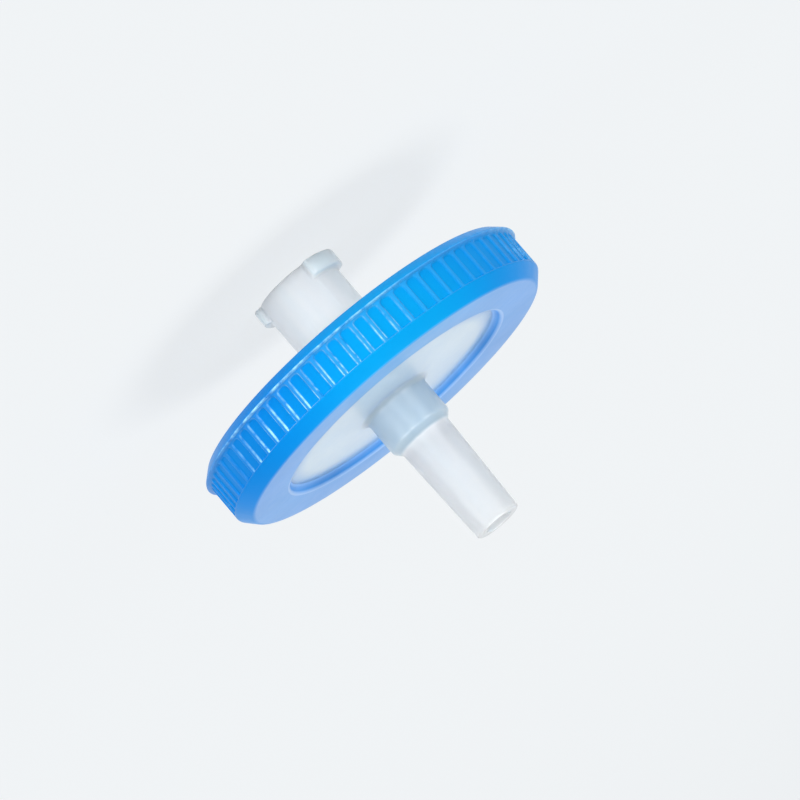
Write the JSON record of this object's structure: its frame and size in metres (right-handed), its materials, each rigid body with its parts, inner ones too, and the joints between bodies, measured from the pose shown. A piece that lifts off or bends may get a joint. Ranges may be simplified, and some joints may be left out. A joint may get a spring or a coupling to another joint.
{
  "type": "syringe filter",
  "caption": "Disc syringe filter: two translucent polypropylene housings round a membrane, held by a ribbed blue ring, with a female Luer lock inlet and a male Luer slip outlet.",
  "frame": {"origin": "centre of the inlet hub's end face, which is the bottom of the part as it stands", "axes": "+Z from the inlet to the outlet along the flow, +X through the middle of one locking lug"},
  "size_m": [0.031, 0.031, 0.0249],
  "materials": {
    "natural_polypropylene": "natural, frosted and translucent, as moulded",
    "blue_polypropylene": "smooth and glossy, as moulded",
    "membrane_white": "matt, fine porous film"
  },
  "bodies": {
    "root": {"inlet_housing": "natural_polypropylene", "membrane": "membrane_white", "outlet_housing": "natural_polypropylene", "grip_ring": "blue_polypropylene"}
  },
  "joints": []
}
